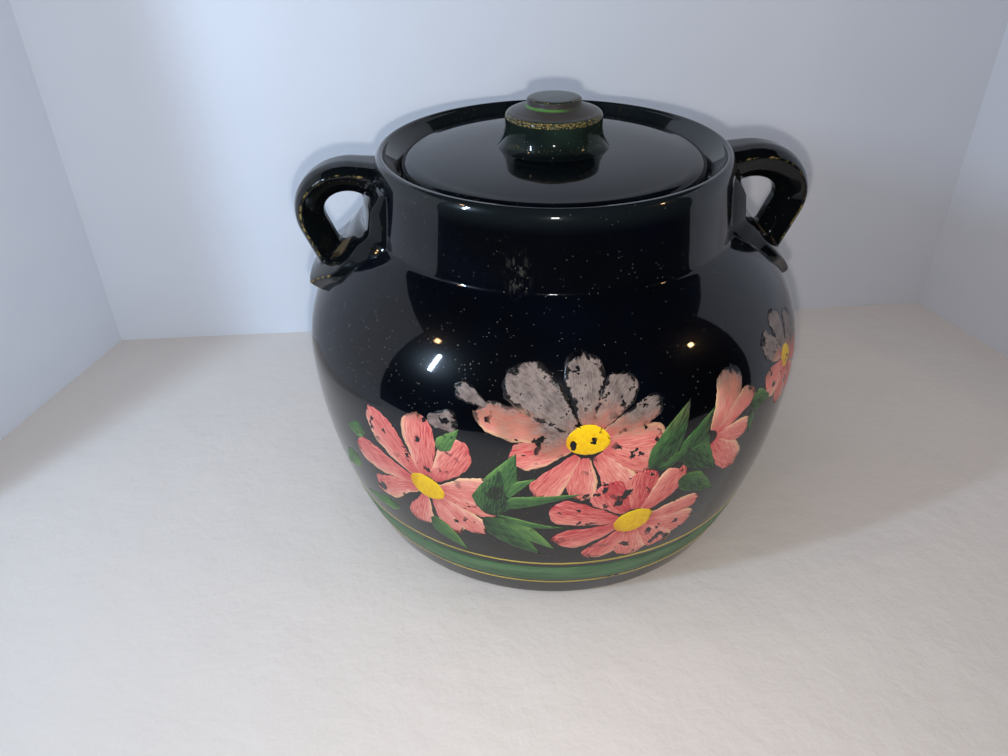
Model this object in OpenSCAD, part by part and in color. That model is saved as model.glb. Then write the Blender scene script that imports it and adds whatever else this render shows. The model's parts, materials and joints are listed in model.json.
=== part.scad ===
// Stoneware bean pot: a round-bellied body with a short neck that draws in a little
// to a rounded rim, two strap handles luted between neck and shoulder, and a loose
// lid with a stepped knob that drops onto a ledge inside the neck.
// Millimetres, +Z up, origin at the middle of the foot, handles along X.

/* [Body] */
// Height from the table to the top of the rim
pot_h = 166.5; // [158:0.5:180]
// Radius of the belly at its widest
belly_r = 108.6; // [104:0.2:114]
// Height at which the belly is widest
belly_z = 86.3; // [80:0.1:92]
// Radius of the body at the table, before the foot is rounded off
foot_r = 89.8; // [84:0.2:94]
// Rounding where the wall meets the foot
foot_round = 3; // [1:0.5:5]
// Thickness of the wall
wall = 6.5; // [5:0.1:8]
// Thickness of the floor, above the hollow under the foot
floor_t = 8; // [6:0.5:11]
// Width of the bare ring that the pot stands on
foot_ring_w = 7; // [5:0.5:10]
// Depth of the hollow inside the foot ring
foot_hollow = 3; // [1.5:0.5:4]
// Rounding between the floor and the wall inside
inner_corner = 16; // [10:1:22]

/* [Neck] */
// Outer radius of the neck where it rises from its crease with the shoulder
neck_r = 76; // [75:0.1:78]
// How far the neck draws in between its crease and the lip
neck_taper = 2.8; // [2:0.1:3.4]
// Height of the neck, from its crease up to the top of the rim
neck_h = 30; // [27:0.5:33]
// Radius of the concave fillet in the crease
crease_fillet = 2.5; // [1:0.5:4]
// How far the rounded lip stands out from the neck below it
lip_roll = 0.8; // [0.4:0.1:2]
// Height of the rounded lip
lip_h = 8; // [6:0.5:8.5]
// Width of the lip, from its outer face to the edge of the mouth
lip_w = 5; // [4.9:0.1:6.4]

/* [Lid seat] */
// Depth from the top of the rim down to the ledge that carries the lid
seat_drop = 9.7; // [8:0.1:12]
// Reach of the ledge in from the wall around the lid
seat_w = 7; // [5:0.5:9]
// Thickness of the ledge at its inner edge
seat_t = 5; // [4:0.5:7]
// Gap all round between the edge of the lid and the wall above the ledge
lid_gap = 1.4; // [0.8:0.1:2.5]
// Gap all round between the rim under the lid and the ledge
rim_gap = 1.5; // [1:0.1:2.5]
// Glaze and grog left between lid and ledge
seat_clear = 0.2; // [0.1:0.05:0.5]

/* [Lid] */
// Radius of the lid
lid_r = 60.7; // [59:0.1:62]
// Thickness of the lid at its edge
lid_edge_t = 6; // [5:0.25:7.5]
// Thickness of the lid away from its edge
lid_t = 6; // [5:0.25:8]
// Rise of the lid from its edge to its middle
lid_dome = 3.6; // [2:0.2:7]
// Rounding of the lid's upper edge
lid_round = 2.4; // [1:0.2:4]
// Depth of the locating rim under the lid
rim_h = 7; // [5:0.5:10]
// Thickness of the locating rim
rim_t = 5; // [4:0.5:7]

/* [Knob] */
// Radius of the knob's drum
knob_r = 19.7; // [17:0.1:23]
// Height of the knob's drum
knob_h = 11.8; // [9:0.2:15]
// Radius of the button on top of the knob
button_r = 11.2; // [9:0.1:13]
// Height of the sloping shoulder between the drum and the button
knob_slope = 3.4; // [2:0.2:6]
// Height of the button
button_h = 2.8; // [2:0.1:5]
// Flare at the foot of the knob
knob_flare = 1.3; // [0.6:0.1:2.5]

/* [Handles] */
// Distance from the neck's crease out to the centre of the strap's bend
bend_out = 8.5; // [7:0.5:10]
// Height of the centre of the strap's bend above the crease
bend_up = 5.5; // [4:0.5:7]
// Reach of the strap's centre line out from the bend's centre
bend_reach = 17.5; // [16:0.1:18.5]
// Rise of the strap's centre line above the bend's centre
bend_rise = 15.3; // [14:0.1:16]
// Width of the strap round the bend and at its foot
strap_w = 20; // [17:0.5:24]
// Width of the strap where it springs from the neck
root_w = 28; // [24:0.5:32]
// Thickness of the strap
strap_t = 11; // [9:0.25:12]
// Extra thickness under the strap where it springs from the neck
root_t = 5; // [2:0.5:7]
// Width of the bevels along the strap's outer face
outer_bevel = 5.5; // [3:0.25:6.5]
// Width of the softer bevels along its inner face
inner_bevel = 4; // [2:0.25:6]
// Width of the backing plate on the neck
plate_w = 62; // [58:1:66]
// Width across the plate's ears, which reach round the crease onto the shoulder
ear_w = 76; // [70:1:80]
// Width of the plate behind its ears
waist_w = 60; // [54:1:64]
// Width of the blunt end of the spur
spur_w = 28; // [22:0.5:34]
// Thickness of the plate on the neck and shoulder
plate_t = 3; // [2:0.1:4]
// How far the spur stands off the shoulder
spur_t = 5; // [4:0.1:7]
// Height of the spur's end above the widest part of the belly
spur_rise = 26; // [22:0.5:30]
// Gap left by the luting slip between a handle and the body
slip = 0.1; // [0.05:0.01:0.2]

/* [Hidden] */

// Turned surfaces are drawn at this fineness
$fn = 180;
// Steps along each curved stretch of a profile
shoulder_steps = 16;
belly_steps = 16;
round_steps = 5;

glaze = "#15191c";
knob_glaze = "#2c3526";

crease_z = pot_h - neck_h;
lip_z = pot_h - lip_h;
lip_r = neck_r - neck_taper + lip_roll;
mouth_r = lip_r - lip_w;
seat_z = pot_h - seat_drop;
well_r = lid_r + lid_gap;
ledge_r = well_r - seat_w;
// Softening of the small edges
ease = 0.6;

// The shoulder is part of a quarter ellipse that would peak well above the crease
shoulder_peak = 12;
shoulder_b = crease_z - belly_z + shoulder_peak;
shoulder_end = asin((crease_z - belly_z) / shoulder_b);
shoulder_a = (belly_r - neck_r) / (1 - cos(shoulder_end));
// The lower body is part of a much taller ellipse, so that it draws in evenly
belly_reach = 6;
belly_b = belly_reach * belly_z;
belly_a = (belly_r - foot_r) / (1 - cos(asin(1 / belly_reach)));
// Elevation of the outward normals of the shoulder, at the crease, and of the neck
shoulder_tilt = atan2(shoulder_a * sin(shoulder_end), shoulder_b * cos(shoulder_end));
neck_tilt = atan2(neck_taper, lip_z - crease_z);

// Point at angle th on an ellipse about (cx, cz), moved t along the outward normal
function ellipse_pt(cx, cz, a, b, th, t) =
    let (n = [b * cos(th), a * sin(th)])
    [cx + a * cos(th), cz + b * sin(th)] + t * n / norm(n);
function shoulder_pt(th, t) =
    ellipse_pt(belly_r - shoulder_a, belly_z, shoulder_a, shoulder_b, th, t);
function belly_pt(th, t) =
    ellipse_pt(belly_r - belly_a, belly_z, belly_a, belly_b, th, t);
// Point on the neck at height z, moved t along its outward normal
function neck_pt(z, t) =
    [neck_r - neck_taper * (z - crease_z) / (lip_z - crease_z), z]
    + t * [cos(neck_tilt), sin(neck_tilt)];
// Angle on the lower ellipse at height z
function belly_angle(z) = -asin((belly_z - z) / belly_b);

function steps(from, to, n) = [for (i = [0 : n]) from + (to - from) * i / n];
function arc(cx, cz, r, from, to, n = round_steps) =
    [for (a = steps(from, to, n)) [cx + r * cos(a), cz + r * sin(a)]];

// Round of radius r in the corner between shoulder and neck, both moved t outward
function crease_arc(t, r) =
    let (
        middle = (shoulder_tilt + neck_tilt) / 2,
        reach = (t + r) / cos((shoulder_tilt - neck_tilt) / 2)
    )
    arc(neck_r + reach * cos(middle), crease_z + reach * sin(middle), r,
        180 + shoulder_tilt, 180 + neck_tilt);

// The foot's rounding starts from the wall at foot_top and ends on the table at stand_r
foot_th = belly_angle(foot_round / 2);
foot_tilt = atan2(belly_a * sin(foot_th), belly_b * cos(foot_th));
foot_top = foot_round * (1 + sin(foot_tilt));
stand_r = belly_pt(belly_angle(foot_top), 0)[0] - foot_round * cos(foot_tilt);

// Outside of the body from the foot up to the crown of the lip, swollen by grow
function outer_profile(grow = 0) =
    concat(
        arc(stand_r, foot_round, foot_round + grow, -90, foot_tilt),
        [for (i = [belly_steps - 1 : -1 : 0])
            belly_pt(belly_angle(foot_top) * i / belly_steps, grow)],
        [for (i = [1 : shoulder_steps - 1])
            shoulder_pt(shoulder_end * i / shoulder_steps, grow)],
        crease_arc(grow, crease_fillet - grow),
        [neck_pt(lip_z, grow)],
        arc(lip_r - lip_h / 2, pot_h - lip_h / 2, lip_h / 2 + grow, -25, 90)
    );

// Inside of the body from the mouth down over the ledge to the middle of the floor
function inner_profile() =
    let (
        corner_z = floor_t + inner_corner,
        corner_r = belly_pt(belly_angle(corner_z), -wall)[0],
        top_th = shoulder_end - 3
    )
    concat(
        [[mouth_r + ease, pot_h - ease], [mouth_r, pot_h - 3 * ease], [well_r, seat_z],
         [ledge_r + ease, seat_z], [ledge_r, seat_z - ease], [ledge_r, seat_z - seat_t],
         neck_pt(seat_z - 2 * seat_t, -wall), neck_pt(crease_z, -wall)],
        [for (th = steps(top_th, 0, shoulder_steps)) shoulder_pt(th, -wall)],
        [for (i = [1 : belly_steps])
            belly_pt(belly_angle(corner_z) * i / belly_steps, -wall)],
        arc(corner_r - inner_corner, corner_z, inner_corner, -5, -90),
        [[0, floor_t]]
    );

module pot_body() {
    hollow_r = stand_r - foot_ring_w;
    color(glaze)
    rotate_extrude()
    polygon(concat(
        [[0, foot_hollow], [hollow_r - foot_hollow / 2, foot_hollow], [hollow_r, 0]],
        outer_profile(),
        inner_profile()
    ));
}

// The body as one solid lump, swollen by the slip gap: what a handle is fitted against
module body_lump() {
    rotate_extrude()
    polygon(concat([[0, -slip]], outer_profile(slip), [[0, pot_h + slip]]));
}

// A station's outline set in space: the band runs in direction a in the XZ plane,
// and the outline's second axis points out of the bend
function ring(station) =
    let (p = station[0], a = station[1])
    [for (q = station[2]) [p[0] - q[1] * sin(a), q[0], p[1] + q[1] * cos(a)]];

// A band lofted through stations [place, direction, outline]
module loft(stations) {
    n = len(stations[0][2]);
    last = len(stations) - 1;
    points = [for (s = stations) each ring(s)];
    sides = [for (i = [0 : last - 1]) for (j = [0 : n - 1])
        let (k = (j + 1) % n, a = i * n + j, b = i * n + k)
        each [[a, a + n, b], [b, a + n, b + n]]];
    ends = [[for (j = [0 : n - 1]) j], [for (j = [n - 1 : -1 : 0]) last * n + j]];
    polyhedron(points, concat(sides, ends));
}

// The strap is flat outside and inside, with bevels down to narrow side faces
function strap_outline(w, extra) =
    let (
        h = w / 2,
        out = strap_t / 2,
        in = -strap_t / 2 - extra,
        bulge = out - outer_bevel * 0.27,
        brow = out - outer_bevel * 0.6,
        heel = in + inner_bevel * 0.6
    )
    [[-h + outer_bevel, out], [-h + outer_bevel / 3, bulge],
     [-h, brow], [-h, heel], [-h + inner_bevel, in],
     [h - inner_bevel, in], [h, heel], [h, brow],
     [h - outer_bevel / 3, bulge], [h - outer_bevel, out]];

// The bend is an ellipse: its place and the direction of travel at angle th
function bend_pt(th) =
    [neck_r + bend_out + bend_reach * cos(th), crease_z + bend_up + bend_rise * sin(th)];
function bend_dir(th) = atan2(-bend_rise * cos(th), bend_reach * sin(th));

// From inside the neck, slightly uphill, round the bend and down into the shoulder
function strap_stations() =
    let (
        turn_start = 97,
        turn_end = -28,
        top = bend_pt(turn_start),
        rise = bend_dir(turn_start),
        root_x = neck_r - neck_taper - wall / 2,
        root_steps = 4,
        bend_steps = 16,
        foot_dir = bend_dir(turn_end),
        foot_run = 2 * strap_t
    )
    concat(
        [for (i = [0 : root_steps - 1])
            let (x = root_x + (top[0] - root_x) * i / root_steps,
                 flare = pow(1 - i / root_steps, 1.6))
            [[x, top[1] - (top[0] - x) * tan(rise)], rise,
             strap_outline(strap_w + (root_w - strap_w) * (0.6 + 0.4 * flare),
                           root_t * flare)]],
        [for (i = [0 : bend_steps])
            let (th = turn_start + (turn_end - turn_start) * i / bend_steps,
                 taper = max(0, 1 - 1.4 * i / bend_steps))
            [bend_pt(th), bend_dir(th),
             strap_outline(strap_w + (root_w - strap_w) * 0.6 * taper, 0)]],
        [[bend_pt(turn_end) + foot_run * [cos(foot_dir), sin(foot_dir)], foot_dir,
          strap_outline(strap_w, 0)]]
    );

// The plate in section: up the shoulder's face from the spur, through the crease
// and up the neck to the lip, and back inside the body
tip_th = asin(spur_rise / shoulder_b);
plate_fillet = 4;
function plate_section() =
    let (
        land_th = shoulder_end - 5,
        undercut_th = tip_th - 4.5,
        top_z = lip_z + ease,
        edge = plate_t / 2,
        tip = shoulder_pt(tip_th, spur_t)
    )
    concat(
        [shoulder_pt(undercut_th, -wall / 4), tip - [ease / 2, 1.5 * ease], tip],
        [for (i = [1 : 6])
            shoulder_pt(tip_th + (land_th - tip_th) * i / 6,
                        spur_t + (plate_t - spur_t) * min(1, i / 3))],
        crease_arc(plate_t, plate_fillet),
        [neck_pt(top_z - edge, plate_t), neck_pt(top_z, plate_t - edge),
         neck_pt(top_z, -wall / 4), neck_pt(crease_z, -wall / 2)]
    );

// One long side of the plate, seen from above: straight on the neck, out to the ear,
// in behind it and along to the blunt end of the spur
function plate_side() =
    let (
        tip_x = shoulder_pt(tip_th, spur_t)[0],
        run = tip_x - neck_r
    )
    [[neck_r / 2, plate_w / 2], [neck_r - plate_fillet, plate_w / 2],
     [neck_r + 0.02 * run, ear_w / 2], [neck_r + 0.3 * run, waist_w / 2],
     [neck_r + 0.6 * run, waist_w / 2 - 0.1 * run], [tip_x, spur_w / 2],
     [tip_x + plate_fillet, spur_w / 2]];

module plate() {
    side = plate_side();
    n = len(side);
    sweep = 70;
    intersection() {
        rotate_extrude(angle = sweep, start = -sweep / 2)
        polygon(plate_section());
        linear_extrude(pot_h)
        polygon(concat(side, [for (i = [n - 1 : -1 : 0]) [side[i][0], -side[i][1]]]));
    }
}

// One handle on the +X side: strap, backing plate and spur pressed in one mould
module handle() {
    color(glaze)
    difference() {
        union() {
            loft(strap_stations());
            plate();
        }
        body_lump();
    }
}

module right_handle() {
    handle();
}

module left_handle() {
    mirror([1, 0, 0])
    handle();
}

// Height of the lid's upper face at radius r, above its edge
function dome(r) = lid_dome * (1 - pow(r / lid_r, 2));

module lid_disc() {
    base_z = seat_z + seat_clear;
    edge_z = base_z + lid_edge_t;
    rim_r = ledge_r - rim_gap;
    pad_r = knob_r + knob_flare;
    color(glaze)
    rotate_extrude()
    polygon(concat(
        [[0, edge_z + dome(pad_r) - lid_t],
         [rim_r - 1.8 * rim_t, edge_z + dome(rim_r) - lid_t],
         [rim_r - rim_t, base_z - rim_h / 4],
         [rim_r - rim_t, base_z - rim_h + ease], [rim_r - rim_t + ease, base_z - rim_h],
         [rim_r - ease, base_z - rim_h], [rim_r, base_z - rim_h + ease], [rim_r, base_z],
         [lid_r - ease, base_z], [lid_r, base_z + ease]],
        arc(lid_r - lid_round, edge_z - lid_round, lid_round, 0, 75),
        [for (r = steps(lid_r - 2 * lid_round, pad_r, 8)) [r, edge_z + dome(r)]],
        [[0, edge_z + dome(pad_r)]]
    ));
}

module lid_knob() {
    top_z = knob_h + knob_slope + button_h;
    color(knob_glaze)
    translate([0, 0, seat_z + seat_clear + lid_edge_t + dome(knob_r + knob_flare)])
    rotate_extrude()
    polygon(concat(
        [[0, 0], [knob_r + knob_flare, 0], [knob_r + knob_flare / 3, knob_flare / 2],
         [knob_r, 1.6 * knob_flare]],
        arc(knob_r - ease, knob_h - ease, ease, 0, 70),
        [[button_r + 2 * ease, knob_h + knob_slope - ease], [button_r, knob_h + knob_slope]],
        arc(button_r - ease, top_z - ease, ease, 0, 90),
        [[0, top_z]]
    ));
}

pot_body();
left_handle();
right_handle();
lid_disc();
lid_knob();
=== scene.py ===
# %% [markdown]
# # A stoneware bean pot, glazed black and painted with daisies
# The pot is thrown: a round belly, a short neck that draws in to a rounded rim, a
# loose lid with a stepped knob, and two strap handles stuck on between neck and
# shoulder. The engineering model gives every size, so the lesson starts by loading it
# as a fixed frame. What is made here is the skin: smooth clay, glaze, brushed paint.

# %% Load the frame
import json
import math

import bpy
import numpy as np
from mathutils import Matrix

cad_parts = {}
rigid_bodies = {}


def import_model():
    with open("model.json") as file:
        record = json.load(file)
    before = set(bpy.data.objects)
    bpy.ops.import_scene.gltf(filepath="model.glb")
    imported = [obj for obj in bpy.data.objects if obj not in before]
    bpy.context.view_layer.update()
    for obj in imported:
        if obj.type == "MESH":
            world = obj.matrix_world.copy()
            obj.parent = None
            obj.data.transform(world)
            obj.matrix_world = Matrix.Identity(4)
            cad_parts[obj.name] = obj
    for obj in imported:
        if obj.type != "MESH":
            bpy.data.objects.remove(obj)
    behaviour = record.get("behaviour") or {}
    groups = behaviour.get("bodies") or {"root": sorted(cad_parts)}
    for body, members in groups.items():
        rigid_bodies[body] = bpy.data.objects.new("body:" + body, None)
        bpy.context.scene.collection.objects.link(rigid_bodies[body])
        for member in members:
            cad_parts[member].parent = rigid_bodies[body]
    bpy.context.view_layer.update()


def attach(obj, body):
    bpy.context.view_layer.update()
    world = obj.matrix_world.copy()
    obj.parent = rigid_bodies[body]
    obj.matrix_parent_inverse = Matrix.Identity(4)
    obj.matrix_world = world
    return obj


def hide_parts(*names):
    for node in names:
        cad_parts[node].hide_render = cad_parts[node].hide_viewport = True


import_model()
MM = 0.001

# %% [markdown]
# ## The camera
# The pot stands a forearm's length away and is seen from above. The camera is placed
# first, because everything after it is judged through it. Its three directions are
# worked out from a heading, a downward pitch and a small roll, which is easier to
# reason about than a rotation written as three angles.


# %% Camera
def camera_turn(yaw, pitch, roll):
    """The camera's right, up and backward directions as the columns of a matrix.
    Yaw turns from +Y towards +X, pitch looks down, and roll leans to the right."""
    look = np.array([math.sin(yaw) * math.cos(pitch), math.cos(yaw) * math.cos(pitch),
                     -math.sin(pitch)])
    right = np.array([math.cos(yaw), -math.sin(yaw), 0.0])
    up = np.cross(right, look)
    leaned = math.cos(roll) * right + math.sin(roll) * up
    upright = -math.sin(roll) * right + math.cos(roll) * up
    return np.column_stack([leaned, upright, -look])


def placed(place, turn):
    """An object's matrix, from its place in metres and its directions as columns."""
    return Matrix.Translation(place) @ Matrix(turn.tolist()).to_4x4()


CAMERA_PLACE = (-0.0455, -0.3159, 0.2642)
YAW, PITCH, ROLL = math.radians(4.32), math.radians(33.72), math.radians(-0.85)
camera = bpy.data.objects.new("camera", bpy.data.cameras.new("camera"))
bpy.context.scene.collection.objects.link(camera)
camera.data.sensor_width = 36
camera.data.lens = 27.87
camera.data.clip_start = 0.01
camera.matrix_world = placed(CAMERA_PLACE, camera_turn(YAW, PITCH, ROLL))
bpy.context.scene.camera = camera
bpy.context.scene.view_settings.view_transform = "Standard"
print("camera stands", round(CAMERA_PLACE[2] / MM), "mm above the floor")

# %% [markdown]
# ## Turning surfaces from numbers
# Nearly every piece is turned on a wheel, so it is a profile swung about the axis.
# A profile is an array of (radius, height) pairs in millimetres. Corners are softened
# before turning, because nothing dipped in glaze keeps a hard edge. The grid of points
# is one array sum, and the faces are worked out from the grid's own numbering.


# %% Profiles
def unit(vectors):
    """Vectors divided by their own lengths."""
    return vectors / np.linalg.norm(vectors, axis=-1, keepdims=True)


def run_of(chain):
    """How far along the chain each of its points lies, from 0."""
    return np.r_[0, np.cumsum(np.linalg.norm(np.diff(chain, axis=0), axis=1))]


def read_off(at, run, chain):
    """Both coordinates of a chain of points, read off at any places of its run."""
    return [np.interp(at, run, chain[:, k]) for k in (0, 1)]


def swung(r, z, angle):
    """Points at radius r and height z swung about the axis: (r cos a, r sin a, z)."""
    return np.stack(np.broadcast_arrays(r * np.cos(angle), r * np.sin(angle), z), axis=-1)


def arc(centre, radius, start, end, steps=8):
    """Points of a circle: centre plus radius times (cos, sin) of angles in degrees."""
    a = np.radians(np.linspace(start, end, steps + 1))
    return np.column_stack([centre[0] + radius * np.cos(a), centre[1] + radius * np.sin(a)])


def softened(points, radius, steps=5):
    """The open chain of points with each inner corner replaced by a curve. The curve
    starts and ends a distance radius from the corner, or 45 % of the shorter side, and
    is (1-t)^2 start + 2t(1-t) corner + t^2 end."""
    p = np.asarray(points, float)
    before, corner, after = p[:-2], p[1:-1], p[2:]
    a, b = before - corner, after - corner
    la, lb = np.linalg.norm(a, axis=1), np.linalg.norm(b, axis=1)
    cut = np.minimum(np.broadcast_to(radius, la.shape), 0.45 * np.minimum(la, lb))
    start = corner + a * (cut / la)[:, None]
    end = corner + b * (cut / lb)[:, None]
    t = np.linspace(0, 1, steps + 1)[None, :, None]
    curve = (1 - t) ** 2 * start[:, None] + 2 * t * (1 - t) * corner[:, None] + t**2 * end[:, None]
    return np.vstack([p[:1], curve.reshape(-1, 2), p[-1:]])


def resampled(points, step):
    """The same chain with points every step millimetres or less along each side."""
    p = np.asarray(points, float)
    length = np.linalg.norm(np.diff(p, axis=0), axis=1)
    counts = np.maximum(1, np.ceil(length / step)).astype(int)
    along = np.concatenate([np.linspace(i, i + 1, n, endpoint=False)
                            for i, n in enumerate(counts)] + [[len(counts)]])
    return np.column_stack(read_off(along, np.arange(len(p)), p))


# %% Grids and meshes
def grid_faces(rows, cols, wrap_rows=False, wrap_cols=False):
    """Quads of a rows x cols grid of points numbered row by row."""
    i = np.arange(rows if wrap_rows else rows - 1)[:, None]
    j = np.arange(cols if wrap_cols else cols - 1)[None, :]
    k, m = (i + 1) % rows, (j + 1) % cols
    quads = np.stack([i * cols + j, i * cols + m, k * cols + m, k * cols + j], axis=-1)
    return quads.reshape(-1, 4)


def shell_faces(rows, cols):
    """Quads of a closed shell of two rows x cols grids, one numbered after the other:
    the first grid, the second turned over, and a strip that joins their edges."""
    sheet, second = grid_faces(rows, cols), rows * cols
    edge = np.concatenate([np.arange(cols), np.arange(2, rows + 1) * cols - 1,
                           second - 2 - np.arange(cols - 1),
                           np.arange(rows - 2, 0, -1) * cols])
    ahead = np.roll(edge, -1)
    strip = np.column_stack([ahead, edge, edge + second, ahead + second])
    return np.vstack([sheet, sheet[:, ::-1] + second, strip])


def new_mesh(name, points, faces, smooth=True):
    """A mesh object at the origin from points in millimetres and lists of corners."""
    mesh = bpy.data.meshes.new(name)
    mesh.from_pydata((np.asarray(points, float) * MM).tolist(), [],
                     [list(map(int, corners)) for corners in faces])
    mesh.polygons.foreach_set("use_smooth", np.full(len(mesh.polygons), smooth))
    mesh.update()
    made = bpy.data.objects.new(name, mesh)
    bpy.context.scene.collection.objects.link(made)
    return made


def coat(material, *pieces):
    """Gives every one of the pieces that material."""
    for piece in pieces:
        piece.data.materials.append(material)


def turned(name, profile, segments=256):
    """A profile swung all the way round. A profile that starts or ends on the axis is
    closed there by a fan, and otherwise it is a loop."""
    p = np.asarray(profile, float)
    on_axis = p[:, 0] < 1e-6
    ring = p[~on_axis]
    a = np.linspace(0, 2 * np.pi, segments, endpoint=False)
    points = swung(ring[:, None, 0], ring[:, None, 1], a).reshape(-1, 3)
    faces = list(grid_faces(len(ring), segments, not on_axis.any(), wrap_cols=True))
    here = np.arange(segments)
    there = (here + 1) % segments
    for end, first, second in ((0, there, here), (-1, here, there)):
        if on_axis[end]:
            pole = np.full(segments, len(points))
            side = 0 if end == 0 else (len(ring) - 1) * segments
            faces += list(np.column_stack([pole, side + first, side + second]))
            points = np.vstack([points, [[0, 0, p[end, 1]]]])
    return new_mesh(name, points, faces)


# %% [markdown]
# ## The body
# Potters throw belly and neck in one pull, so the wall is one piece from the foot ring
# round to the floor inside. The shoulder is part of an ellipse that meets the neck in a
# crease, the neck draws in a little towards its rounded lip, and the lower wall belongs
# to a much taller ellipse. A ledge inside the neck carries the lid. The measured belly
# includes the paint, so the glaze keeps a fifth of a millimetre below it.

# %% Sizes of the body, in millimetres
FILM = 0.2
POT_H, BELLY_R, BELLY_Z, FOOT_R, FOOT_ROUND = 166.5, 108.6 - FILM, 86.3, 89.8, 3.0
WALL, FLOOR_T, RING_W, HOLLOW, INNER_CORNER = 6.5, 8.0, 7.0, 3.0, 16.0
NECK_R, NECK_TAPER, NECK_H, LIP_ROLL, LIP_H, LIP_W = 76.0, 2.8, 30.0, 0.8, 8.0, 5.0
SEAT_Z, SEAT_T, WELL_R, LEDGE_R = 156.8, 5.0, 62.1, 55.1
CREASE_Z, LIP_Z = POT_H - NECK_H, POT_H - LIP_H
LIP_R = NECK_R - NECK_TAPER + LIP_ROLL
MOUTH_R = LIP_R - LIP_W
SHOULDER_LIFT, TALLNESS = 12, 6
SHOULDER_B = CREASE_Z - BELLY_Z + SHOULDER_LIFT
SHOULDER_END = math.asin((CREASE_Z - BELLY_Z) / SHOULDER_B)
SHOULDER_A = (BELLY_R - NECK_R) / (1 - math.cos(SHOULDER_END))
BELLY_B = TALLNESS * BELLY_Z
BELLY_A = (BELLY_R - FOOT_R) / (1 - math.cos(math.asin(1 / TALLNESS)))
SHOULDER_TILT = math.atan2(SHOULDER_A * math.sin(SHOULDER_END),
                           SHOULDER_B * math.cos(SHOULDER_END))
NECK_TILT = math.atan2(NECK_TAPER, LIP_Z - CREASE_Z)
print("crease at", CREASE_Z, "mm, mouth", round(2 * MOUTH_R, 1), "mm wide")


def ellipse(a, b, th, out):
    """Points at angles th on an ellipse that touches the belly: centre plus
    (a cos th, b sin th), moved out along the normal (b cos th, a sin th)."""
    normal = unit(np.column_stack([b * np.cos(th), a * np.sin(th)]))
    centre = np.array([BELLY_R - a, BELLY_Z])
    points = centre + np.column_stack([a * np.cos(th), b * np.sin(th)])
    return points + np.reshape(out, (-1, 1)) * normal


def wall_curve(out, low_z, top_th=SHOULDER_END, steps=70):
    """Foot to crease: the lower ellipse from height low_z, then the shoulder."""
    low = np.linspace(-math.asin((BELLY_Z - low_z) / BELLY_B), 0, steps)
    high = np.linspace(0, top_th, steps)[1:]
    return np.vstack([ellipse(BELLY_A, BELLY_B, low, out),
                      ellipse(SHOULDER_A, SHOULDER_B, high, out)])


def crease_arc(out, radius, steps=8):
    """The round in the crease, tangent to shoulder and neck when both are moved out. Its
    centre lies on the line that halves the corner, (out + radius) / cos(half) away."""
    middle, half = (SHOULDER_TILT + NECK_TILT) / 2, (SHOULDER_TILT - NECK_TILT) / 2
    reach = (out + radius) / math.cos(half)
    centre = (NECK_R + reach * math.cos(middle), CREASE_Z + reach * math.sin(middle))
    return arc(centre, radius, 180 + math.degrees(SHOULDER_TILT),
               180 + math.degrees(NECK_TILT), steps)


def neck_point(z, out):
    """The neck at height z: a straight taper from the crease to the lip."""
    r = NECK_R - NECK_TAPER * (z - CREASE_Z) / (LIP_Z - CREASE_Z)
    return (r + out * math.cos(NECK_TILT), z + out * math.sin(NECK_TILT))


# %% Body profile
low_slope = wall_curve(0, FOOT_ROUND / 2)[:2]
FOOT_TILT = -math.atan2(*(low_slope[1] - low_slope[0]))
FOOT_TOP = FOOT_ROUND * (1 + math.sin(FOOT_TILT))
wall = wall_curve(0, FOOT_TOP)
STAND_R = wall[0, 0] - FOOT_ROUND * math.cos(FOOT_TILT)
RIM_R, RIM_IN, RIM_UP = neck_point(LIP_Z, 0)[0] + 0.25, 3.0, 6.5
CREASE_ROUND, LIP_EASE, SEAT_DROP = 2.5, 1.8, 0.1
outside = np.vstack([
    arc((STAND_R, FOOT_ROUND), FOOT_ROUND, -90, math.degrees(FOOT_TILT)),
    wall[1:-4],
    crease_arc(0, CREASE_ROUND),
    [neck_point(CREASE_Z + 4, 0)],
    arc((0, 0), 1, 10, 90, 18) * [RIM_IN, RIM_UP] + [RIM_R - RIM_IN, POT_H - RIM_UP],
])
corner_z = FLOOR_T + INNER_CORNER
inside_wall = wall_curve(-WALL, corner_z, SHOULDER_END - 0.05)[::-1]
inside = np.vstack([
    softened([(MOUTH_R + 0.8, POT_H), (MOUTH_R, POT_H - LIP_EASE), (WELL_R, SEAT_Z + 0.02),
              (WELL_R - 0.5, SEAT_Z - SEAT_DROP), (LEDGE_R, SEAT_Z - SEAT_DROP),
              (LEDGE_R, SEAT_Z - SEAT_T), neck_point(SEAT_Z - 2 * SEAT_T, -WALL),
              neck_point(CREASE_Z, -WALL)], 1.2),
    inside_wall,
    arc((inside_wall[-1, 0] - INNER_CORNER, corner_z), INNER_CORNER, -5, -90, 16),
    [(0, FLOOR_T)],
])
hollow_r = STAND_R - RING_W
under = softened([(0, HOLLOW), (hollow_r - 1.5, HOLLOW), (hollow_r, 0.1), (STAND_R, 0.1)], 1)
body_profile = resampled(np.vstack([under, outside[1:], inside]), 2.0)
body = turned("body_glazed", body_profile)
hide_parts("pot_body")
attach(body, "pot")
print("body:", len(body.data.polygons), "faces, belly", round(body_profile[:, 0].max(), 2), "mm")

# %% [markdown]
# ## Where glaze is wiped away
# Stoneware would weld itself to the kiln shelf, and the lid to its ledge, so the foot
# ring and both seats are wiped bare before firing. Each bare place is a thin closed
# ring of clay that lies just proud of the glazed wall beside it.


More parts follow.
